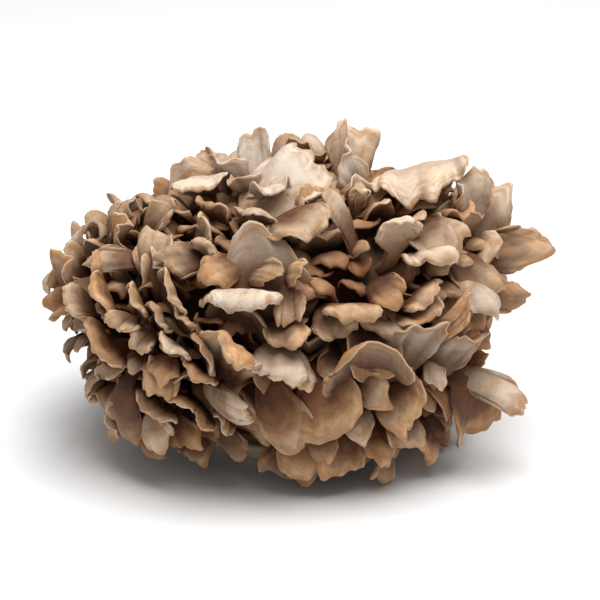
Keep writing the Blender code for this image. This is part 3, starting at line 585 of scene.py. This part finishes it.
def rule_frond(lon, lat, draw, seed, out):
    fine = fineness(lon, lat)
    crown = lat > CROWN_LATITUDE
    kind = rule_kind(lon, lat, draw)
    form = KINDS[kind]
    roll, tilt = rule_pose(kind, lon, lat, draw)
    width = draw.uniform(15, 27) * (1 - 0.34 * fine - 0.16 * frilling(lon, lat))
    length = width * draw.uniform(0.58, 0.86)
    if kind == "leaf":
        width *= 0.61
        length = width * draw.uniform(1.1, 1.6)
    changes = dict(
        tilt=tilt,
        cup=form["cup"] + draw.uniform(-25, 25),
        bend=form["bend"] + draw.uniform(-12, 15),
        wave=form["wave"] * draw.uniform(0.7, 1.5),
        twist=draw.normal(0, 13),
        out=out + (draw.uniform(-2.0, 3.0) if crown else draw.uniform(-4.5, 3.0)),
        tone=max(0.0, draw.normal(0.15, 0.3)),
        pale=0.25 * draw.random() + (0.35 if lat > 45 else 0.0),
        point=draw.uniform(-0.12, 0.22),
        ragged=draw.uniform(0.7, 1.8),
    )
    return Frond(kind, lon, lat, roll, length, width, seed, **changes)


def golden_places(count, draw):
    """Longitudes and latitudes on a golden spiral from the top down, each a little astray."""
    golden = math.pi * (3 - math.sqrt(5))
    for i in range(count):
        lat = math.degrees(math.asin(1 - (i + 0.5) * 2 / count)) + draw.uniform(-2.5, 2.5)
        lon = math.degrees(i * golden) + draw.uniform(-3, 3)
        yield i, (lon + 180) % 360 - 180, min(88.0, lat)


def in_gap(middle):
    return any(np.linalg.norm(middle - dome_point(lon, lat)) < 1.6 * radius for lon, lat, radius in GAPS)


def rule_fronds(taken, spacing, out, seed, gaps=True):
    """Fronds all over the dome, wherever no other is nearer than the spacing."""
    draw = np.random.default_rng(seed)
    middles = [dome_point(frond.lon, frond.lat) for frond in taken]
    made = []
    for i, lon, lat in golden_places(int(240000 / spacing**2), draw):
        crowding = 0.2 * fineness(lon, lat) + 0.2 * slanting(lon, lat)
        room = spacing * (1 - crowding) * draw.uniform(0.8, 1.1)
        middle = dome_point(lon, lat)
        if lat < LOWEST_LATITUDE or (gaps and in_gap(middle)):
            continue
        if any(np.linalg.norm(middle - other) < room for other in middles):
            continue
        middles.append(middle)
        made.append(rule_frond(lon, lat, draw, seed * 1000 + i, out))
    return made


def outer_fronds():
    """The fronds that show: those placed one by one, and those that the rule sets between them."""
    fronds = landmark_fronds()
    return fronds + rule_fronds(fronds, FILL_SPACING, 0.0, FILL_SEED)


def outline_middle(fronds):
    """The middle of the fronds' outline, seen from above; it goes over the origin."""
    points = np.concatenate([solid_mesh(frond)[0] for frond in fronds])
    middle = (points.min(axis=0) + points.max(axis=0)) / 2
    return np.array([middle[0], middle[1], 0.0])


# The finer grids: stem rows, then steps from neck to margin and across, closer together at the margin.
def edged(count):
    """Steps from -1 to 1, closer together at both ends."""
    return [math.copysign(1 - (1 - abs(t)) ** 1.35, t) for t in np.linspace(-1, 1, count)]


FINE_COLUMNS = 45
FINE_GRID = (4, (0, 0.15, 0.3, 0.43, 0.55, 0.66, 0.76, 0.85, 0.92, 0.97, 1.0), edged(FINE_COLUMNS))
INNER_GRID = (3, (0, 0.25, 0.5, 0.7, 0.86, 0.96, 1.0), edged(17))

# The fine fronds' worn margins and wrinkles, as they are on a cap of the common width.
COMMON_WIDTH = 28.0
PHASES = 6.3            # the range that a wave's phase is drawn from
TORN_SEED = 500
TORN_FROM = 0.5         # the wear grows from this share of the cap's length to its margin
MOST_TORN = 1.6         # the most that a wide cap's wear is of the common one's
NOTCH_RATE = 17.0
NOTCH_BEAT = 0.37       # the notches come and go at this share of their rate
NOTCH_DEPTH = 0.7
FRAY_DEPTH = 0.45
FRAYING = (-0.4, 0.6)   # shares of the fray's depth, lost at a column's end
MOST_WRINKLED = 1.3
WRINKLES = [(0.17, 19.0, 0.0, 2.0), (0.2, 10.0, 3.0, 1.5), (0.16, 4.0, 9.0, 1.5)]   # mm, across, along, bend
WANDER_ALONG = 3.1
WANDER_ACROSS = 2.3

# The fronds under those that show: spacing, depth, seed.
DEEP_LAYER = (15.0, -13.0, 9)
NEAR_LAYER = (10.0, -8.0, 11)

# The branched core that they grow from.
CORE_SHARE = 0.70
CORE_COLUMNS = 120
CORE_ROWS = 48
CORE_BOTTOM = -62
CORE_TOP = 86
CORE_RIDGES = [(1.6, 9, 3.0, 0.0), (1.2, 17, 5.0, 1.3), (0.8, 31, 9.0, 2.1)]    # mm, round, up, phase
CUT_RADIUS = 33.5
CUT_ROWS = 10
CUT_NECK = 12.0
CUT_FLARE = 1.12

# Colours of the flesh, linear. A frond's go from pale to dark.
UPPER_COLOURS = [
    (0, (0.58, 0.43, 0.29)),
    (0.25, (0.39, 0.25, 0.145)),
    (0.6, (0.22, 0.122, 0.060)),
    (1, (0.08, 0.041, 0.019)),
]
PALE_COLOURS = [
    (0, (0.72, 0.62, 0.51)),
    (0.4, (0.62, 0.49, 0.36)),
    (0.65, (0.46, 0.285, 0.155)),
    (1, (0.26, 0.145, 0.07)),
]
UNDER_COLOURS = [(0, (0.47, 0.37, 0.285)), (0.55, (0.25, 0.17, 0.11)), (1, (0.10, 0.058, 0.032))]
# Painted shade: what the colour is multiplied by, darkest deep between the fronds where shade falls and none
# at their tips.
DEPTH_SHADE_COLOURS = [
    (0, (0.34, 0.20, 0.115)),
    (0.45, (0.50, 0.33, 0.21)),
    (0.8, (0.76, 0.62, 0.49)),
    (1, (1, 1, 1)),
]
EDGE_COLOUR = (0.34, 0.165, 0.062)
# Painted highlight: the pale line where light catches the edge between a frond's two faces.
RIM_HIGHLIGHT = (0.68, 0.53, 0.38)
WARM_TINT = (1.13, 0.92, 0.71)
COOL_TINT = (0.98, 1.0, 1.03)
# Painted shade: what the colour is multiplied by towards a frond's neck, where the fronds above overlap and
# shade it.
NECK_SHADE = (0.27, 0.17, 0.10)
FROND_ROUGHNESS = 0.75
# The flesh's noises: size (per millimetre) and detail, and what each adds to the pattern.
STREAKS = (0.9, 4, 0.20)
FIBRES = (2.6, 4, 0.08)
BLOTCHES = (0.11, 2, 0.52)
SPECKS = (0.45, 3, 0.20)
GRIT = (1.5, 3, 0.10)
HUES = (0.08, 2, 0.7)
STREAK_STRETCH = 0.16   # how much slower the streaks change along the frond than across it
FIBRE_STRETCH = 0.26
SHADE_RANGE = (0.49, 0.98)      # the pattern's values from the palest colour to the darkest
PALEST_RANGE = (0.50, 0.80)
WARM_RANGE = (0.48, 0.66)
COOL_RANGE = (0.48, 0.34)
EDGE_RANGE = (0.72, 0.98)       # shares of the way to the margin
NECK_SHADE_RANGE = (0.4, 0.98)
DEPTH_SHADE_RANGE = (-24.0, -1.0)     # millimetres outside the dome
SIDE_RANGE = (0.25, -0.25)      # from the upper face to the under one
RIM_HIGHLIGHT_RANGE = (0.9, 0.2, 0.0, 0.5)            # from and to, then the shares of the colour there
WORN_SPECKS = (0.35, 0.62, 0.15, 0.75)
TONE_AND_SHADE_SHARE = 0.45
WARMTH_SHARE = 0.3
# On the palest fronds this also takes away most of the painted shade at the neck.
PALE_HIDES = -0.6       # of the warm tint and the dark neck, on the palest fronds
PATTERN_HEIGHT = 0.7
GRIT_HEIGHT = 0.3
FROND_BUMP = (0.7, 0.0008)      # strength, and height in metres
# Painted shade: the core between the branches is near black for the shade deep in the cluster, while the cut
# face shows the flesh's pale colour.
CORE_SHADE_COLOURS = [(0.3, (0.06, 0.032, 0.016)), (0.7, (0.14, 0.078, 0.040))]
CUT_COLOURS = [(0.3, (0.62, 0.50, 0.36)), (0.7, (0.80, 0.70, 0.55))]
CORE_ROUGHNESS = 0.85
CORE_SPECULAR = 0.1
CORE_MOTTLE = (60.0, 4)         # size (per metre) and detail
CORE_GRAIN = (400.0, 3)
CORE_BUMP = (0.4, 0.0005)
FLOOR_COLOUR = (0.9, 0.9, 0.9)

# Camera and light.
VIEW_ELEVATION = 22.0
VIEW_DISTANCE = 1.15
VIEW_TARGET = (0.003, 0.0, 0.060)
VIEW_HALF_WIDTH = 0.122
SENSOR = 36.0
FLOOR_SIZE = 12.0
FLOOR_DROP = 0.0002    # below the cut face, so that the two do not flicker
WORLD_STRENGTH = 0.31
LIGHTS = [((0.12, -0.10, 1.2), 1.1, 23.0)]      # place, size, power


def dome_depth(points):
    """How far each point lies outside the dome, in millimetres, its swellings left out."""
    arm = points - np.array([0.0, 0.0, HEART])
    far = np.maximum(np.linalg.norm(arm, axis=1), 1e-6)
    ray = arm / far[:, None]
    wide = np.abs(ray[:, 0] / HALF_WIDTH) ** PLAN_POWER
    deep = np.abs(ray[:, 1] / HALF_DEPTH) ** PLAN_POWER
    plan = (wide + deep) ** (1 / PLAN_POWER)
    crown = ray[:, 2] > 0
    rise = np.where(crown, CROWN_RISE * (1 + LEAN * ray[:, 0]), SKIRT_DROP)
    power = np.where(crown, CROWN_POWER, SKIRT_POWER)
    return far - (plan**power + np.abs(ray[:, 2] / rise) ** power) ** (-1 / power)


def add_piece(name, points, faces, middle, marks, material):
    """One mesh of the object, in the part's frame, with its marks as attributes for the material."""
    mesh = bpy.data.meshes.new(name)
    mesh.from_pydata(((points - middle) * MM).tolist(), [], faces.tolist())
    mesh.shade_smooth()
    for mark, values in marks.items():
        held = mesh.attributes.new(mark, "FLOAT", "POINT")
        held.data.foreach_set("value", np.asarray(values, np.float32))
    mesh.materials.append(material)
    piece = bpy.data.objects.new(name, mesh)
    bpy.context.scene.collection.objects.link(piece)
    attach(piece, BODY)
    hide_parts(NODE)
    return piece


def frond_marks(frond, marks):
    """Where each point lies on its frond: the material's streaks, edges and tones follow it."""
    u, v, side = marks.T
    return dict(
        u=u,
        side=side,
        along=u * frond.length * (1.0 + HIDDEN),
        across=v * frond.width / 2 * np.clip(0.35 + 0.65 * u, 0.35, 1.0),
        grain=np.full(len(u), frond.seed * 7.3 % 97),
        rim=np.maximum(u, np.where(u > 0.3, np.abs(v), 0.0)),
        tone=np.full(len(u), frond.tone),
        pale=np.full(len(u), frond.pale),
        warmth=np.full(len(u), 0.7 + 0.4 * math.sin(2.4 * frond.seed + 1.0) - frond.lat / 200),
    )


def add_fronds(name, fronds, grid, middle, material):
    """All these fronds as one piece."""
    points, faces, marks = [], [], []
    count = 0
    for frond in fronds:
        made, triangles, places = frond_mesh(frond, *grid)
        points.append(made)
        faces.append(triangles + count)
        marks.append(frond_marks(frond, places))
        count += len(made)
    points = np.concatenate(points)
    together = {mark: np.concatenate([each[mark] for each in marks]) for mark in marks[0]}
    # How deep each point lies, for the painted shade between the fronds.
    together["deep"] = dome_depth(points)
    return add_piece(name, points, np.concatenate(faces), middle, together, material)


def region(frond):
    """The side of the cluster that a frond is on."""
    if frond.lat > 38:
        return "crown"
    sides = {0: "front", 1: "right", 2: "back", -2: "back", -1: "left"}
    return sides[round(frond.lon / 90)]


def ridge(turn, lat):
    """How far the core's ridges stand out at this place."""
    waves = [mm * math.sin(rate * turn + up * lat / 90 + phase) for mm, rate, up, phase in CORE_RIDGES]
    return math.cos(math.radians(lat)) * sum(waves)


def core_rows():
    """Rows of the core's points, from inside the cut face up to near the crown."""
    turns = 2 * math.pi * np.arange(CORE_COLUMNS) / CORE_COLUMNS
    circle = np.stack([np.sin(turns), -np.cos(turns), np.zeros(CORE_COLUMNS)], -1)
    rows = [circle * CUT_RADIUS * share for share in np.linspace(0.0, 1.0, CUT_ROWS)[1:]]
    rows.append(circle * CUT_RADIUS * CUT_FLARE + np.array([0.0, 0.0, CUT_NECK]))
    heart = np.array([0.0, 0.0, HEART])
    for lat in np.linspace(CORE_BOTTOM, CORE_TOP, CORE_ROWS):
        row = []
        for turn in turns:
            arm = dome_point(math.degrees(turn), lat) - heart
            row.append(heart + arm * CORE_SHARE + unit(arm) * ridge(turn, lat))
        rows.append(np.array(row))
    return rows


def add_core(middle, material):
    """The branched core, cut flat underneath."""
    rows = core_rows()
    points = np.concatenate(rows + [[(0.0, 0.0, HEART + CROWN_RISE * CORE_SHARE), (0.0, 0.0, 0.0)]])
    top = len(points) - 2
    columns = np.arange(CORE_COLUMNS)
    beside = (columns + 1) % CORE_COLUMNS
    faces = [np.stack([beside, columns, np.full(CORE_COLUMNS, top + 1)], -1)]
    for row in range(len(rows) - 1):
        low = row * CORE_COLUMNS
        high = low + CORE_COLUMNS
        faces.append(np.stack([low + columns, low + beside, high + beside], -1))
        faces.append(np.stack([low + columns, high + beside, high + columns], -1))
    last = top - CORE_COLUMNS
    faces.append(np.stack([last + columns, last + beside, np.full(CORE_COLUMNS, top)], -1))
    cut = np.where(points[:, 2] < 0.5, 1.0, 0.0)
    core = add_piece("core", points, np.concatenate(faces), middle, dict(cut=cut), material)
    core.data.set_sharp_from_angle(angle=math.radians(50))
    return core


class Paint:
    """A material's node tree, built a node at a time."""

    def __init__(self, name, roughness):
        self.material = bpy.data.materials.new(name)
        self.material.use_nodes = True
        self.tree = self.material.node_tree
        self.shader = self.tree.nodes["Principled BSDF"]
        self.shader.inputs["Roughness"].default_value = roughness

    def put(self, socket, value):
        """Set a socket to a number or a colour, or link it."""
        if isinstance(value, bpy.types.NodeSocket):
            self.tree.links.new(value, socket)
        elif isinstance(value, tuple) and len(socket.default_value) == 4:
            socket.default_value = (*value, 1.0)
        else:
            socket.default_value = value

    def node(self, kind, values, **settings):
        made = self.tree.nodes.new(kind)
        for name, value in settings.items():
            setattr(made, name, value)
        for place, value in values.items():
            self.put(made.inputs[place], value)
        return made

    def mark(self, name):
        return self.node("ShaderNodeAttribute", {}, attribute_name=name).outputs["Fac"]

    def maths(self, operation, *values):
        return self.node("ShaderNodeMath", dict(enumerate(values)), operation=operation).outputs[0]

    def place(self, x, y, z):
        return self.node("ShaderNodeCombineXYZ", {0: x, 1: y, 2: z}).outputs[0]

    def noise(self, place, scale, detail):
        values = {"Vector": place, "Scale": scale, "Detail": detail, "Roughness": 0.55}
        return self.node("ShaderNodeTexNoise", values).outputs["Fac"]

    def over(self, value, low, high, start=0.0, end=1.0):
        """The value, spread smoothly from start at low to end at high."""
        values = {0: value, 1: low, 2: high, 3: start, 4: end}
        return self.node("ShaderNodeMapRange", values, interpolation_type="SMOOTHSTEP").outputs[0]

    def evenly(self, value, low, high):
        return self.node("ShaderNodeMapRange", {0: value, 1: low, 2: high}).outputs[0]

    def ramp(self, value, stops):
        made = self.node("ShaderNodeValToRGB", {0: value})
        elements = made.color_ramp.elements
        while len(elements) < len(stops):
            elements.new(0.5)
        for element, (position, colour) in zip(elements, stops):
            element.position = position
            element.color = (*colour, 1.0)
        return made.outputs[0]

    def mix(self, first, second, share, blend="MIX"):
        values = {0: share, 6: first, 7: second}
        return self.node("ShaderNodeMix", values, data_type="RGBA", blend_type=blend).outputs[2]

    def bump(self, height, strength, distance):
        values = {"Height": height, "Strength": strength, "Distance": distance}
        return self.node("ShaderNodeBump", values).outputs[0]


def sum_of(paint, shares):
    """A weighted sum of values."""
    total = 0.0
    for value, share in shares:
        total = paint.maths("MULTIPLY_ADD", value, share, total)
    return total


def frond_pattern(paint):
    """The flesh's pattern, dark where it is high, then its hues, and the specks and the grit in it."""
    along, across, grain = [paint.mark(name) for name in ("along", "across", "grain")]
    streaked = paint.place(across, paint.maths("MULTIPLY", along, STREAK_STRETCH), grain)
    fibred = paint.place(across, paint.maths("MULTIPLY", along, FIBRE_STRETCH), grain)
    flat = paint.place(across, along, grain)
    kinds = (STREAKS, FIBRES, BLOTCHES, SPECKS, GRIT, HUES)
    places = (streaked, fibred, flat, flat, flat, flat)
    noises = [paint.noise(place, *kind[:2]) for place, kind in zip(places, kinds)]
    specks, grit, hue = noises[3:]
    pattern = sum_of(paint, [(noise, kind[2]) for noise, kind in zip(noises[:5], kinds)])
    hues = sum_of(paint, [(hue, HUES[2]), (paint.mark("warmth"), WARMTH_SHARE)])
    return pattern, hues, specks, grit


def with_edges(paint, colour, side, specks):
    """The colour, browner towards the margin, with a painted highlight on the edge between the two faces."""
    worn = paint.over(specks, *WORN_SPECKS)
    edge = paint.maths("MULTIPLY", paint.over(paint.mark("rim"), *EDGE_RANGE), worn)
    colour = paint.mix(colour, EDGE_COLOUR, edge)
    # Painted highlight on the edge between the faces.
    return paint.mix(colour, RIM_HIGHLIGHT, paint.over(paint.maths("ABSOLUTE", side), *RIM_HIGHLIGHT_RANGE))


def frond_material():
    """Cream to brown caps, streaked from neck to margin and greyer underneath, with painted shade between
    the fronds and at their necks, and a painted highlight on their rims.
    """
    paint = Paint("frond_flesh_and_painted_light", FROND_ROUGHNESS)
    u, side, tone, pale = [paint.mark(name) for name in ("u", "side", "tone", "pale")]
    pattern, hues, specks, grit = frond_pattern(paint)
    shade = paint.evenly(pattern, *SHADE_RANGE)
    # The tone darkens a frond, at random or as painted shade in a hollow.
    darker = paint.maths("MULTIPLY_ADD", tone, TONE_AND_SHADE_SHARE, shade)
    palest = paint.ramp(paint.evenly(pattern, *PALEST_RANGE), PALE_COLOURS)
    upper = paint.mix(paint.ramp(darker, UPPER_COLOURS), palest, pale)
    under = paint.mix(paint.ramp(darker, UNDER_COLOURS), palest, pale)
    colour = paint.mix(upper, under, paint.evenly(side, *SIDE_RANGE))
    shown = paint.maths("MULTIPLY_ADD", pale, PALE_HIDES, 1.0)
    warm = paint.maths("MULTIPLY", paint.over(hues, *WARM_RANGE), shown)
    colour = paint.mix(colour, WARM_TINT, warm, "MULTIPLY")
    colour = paint.mix(colour, COOL_TINT, paint.over(hues, *COOL_RANGE), "MULTIPLY")
    colour = with_edges(paint, colour, side, specks)
    # Painted shade: the deeper a point lies between the fronds, the darker its colour.
    depth = paint.ramp(paint.evenly(paint.mark("deep"), *DEPTH_SHADE_RANGE), DEPTH_SHADE_COLOURS)
    colour = paint.mix(colour, depth, 1.0, "MULTIPLY")
    # Painted shade: darker towards each neck, and less so on the palest fronds.
    neck = [paint.over(u, *NECK_SHADE_RANGE, share, 1.0) for share in NECK_SHADE]
    colour = paint.mix(colour, paint.place(*neck), shown, "MULTIPLY")
    paint.put(paint.shader.inputs["Base Color"], colour)
    height = sum_of(paint, [(pattern, PATTERN_HEIGHT), (grit, GRIT_HEIGHT)])
    paint.put(paint.shader.inputs["Normal"], paint.bump(height, *FROND_BUMP))
    return paint.material


def core_material():
    """Painted shade on the core between the branches, near black, and pale firm flesh where it is cut."""
    paint = Paint("core_flesh_and_painted_shade", CORE_ROUGHNESS)
    place = paint.node("ShaderNodeTexCoord", {}).outputs["Object"]
    mottle = paint.noise(place, *CORE_MOTTLE)
    grain = paint.noise(place, *CORE_GRAIN)
    # Painted shade on the core, while the cut face keeps the pale flesh.
    dark = paint.ramp(mottle, CORE_SHADE_COLOURS)
    pale = paint.ramp(sum_of(paint, [(mottle, 0.6), (grain, 0.4)]), CUT_COLOURS)
    colour = paint.mix(dark, pale, paint.evenly(paint.mark("cut"), 0.4, 0.6))
    paint.put(paint.shader.inputs["Base Color"], colour)
    paint.put(paint.shader.inputs["Specular IOR Level"], CORE_SPECULAR)
    paint.put(paint.shader.inputs["Normal"], paint.bump(grain, *CORE_BUMP))
    return paint.material


def add_object(name, data):
    made = bpy.data.objects.new(name, data)
    bpy.context.scene.collection.objects.link(made)
    return made


def aim(made, place, target):
    made.location = place
    made.rotation_mode = "QUATERNION"
    made.rotation_quaternion = (Vector(target) - Vector(place)).to_track_quat("-Z", "Y")


def add_floor():
    half = FLOOR_SIZE / 2
    mesh = bpy.data.meshes.new("floor")
    square = [(x, y, -FLOOR_DROP) for x, y in ((-half, -half), (half, -half), (half, half), (-half, half))]
    mesh.from_pydata(square, [], [(0, 1, 2, 3)])
    paint = Paint("floor", 0.9)
    paint.put(paint.shader.inputs["Base Color"], FLOOR_COLOUR)
    mesh.materials.append(paint.material)
    floor = add_object("floor", mesh)
    floor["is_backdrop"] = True


def add_light():
    world = bpy.data.worlds.new("studio")
    bpy.context.scene.world = world
    world.use_nodes = True
    backdrop = world.node_tree.nodes["Background"]
    backdrop.inputs["Color"].default_value = (1.0, 1.0, 1.0, 1.0)
    backdrop.inputs["Strength"].default_value = WORLD_STRENGTH
    for place, size, power in LIGHTS:
        data = bpy.data.lights.new("softbox", "AREA")
        data.size = size
        data.energy = power
        aim(add_object("softbox", data), place, VIEW_TARGET)


def add_camera():
    data = bpy.data.cameras.new("camera")
    data.sensor_width = SENSOR
    data.lens = SENSOR / 2 * VIEW_DISTANCE / VIEW_HALF_WIDTH
    camera = add_object("camera", data)
    rise = math.radians(VIEW_ELEVATION)
    back = Vector((0.0, -math.cos(rise), math.sin(rise)))
    aim(camera, Vector(VIEW_TARGET) + back * VIEW_DISTANCE, VIEW_TARGET)
    bpy.context.scene.camera = camera


def corners():
    """The object's lowest and highest corners, as plain lists."""
    bpy.context.view_layer.update()
    return [list(corner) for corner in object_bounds()]


def build():
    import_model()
    cad = corners()
    outer = outer_fronds()
    middle = outline_middle(outer)
    inner = rule_fronds([], *DEEP_LAYER, gaps=False) + rule_fronds(outer, *NEAR_LAYER)
    material = frond_material()
    for side in ("crown", "front", "right", "back", "left"):
        for layer, fronds, grid in (("fronds", outer, FINE_GRID), ("inner", inner, INNER_GRID)):
            here = [frond for frond in fronds if region(frond) == side]
            add_fronds(f"{layer}_{side}", here, grid, middle, material)
    add_core(middle, core_material())
    add_floor()
    add_light()
    add_camera()
    bpy.context.scene.view_settings.view_transform = "Standard"
    {"cad": cad, "visual": corners()}


build()
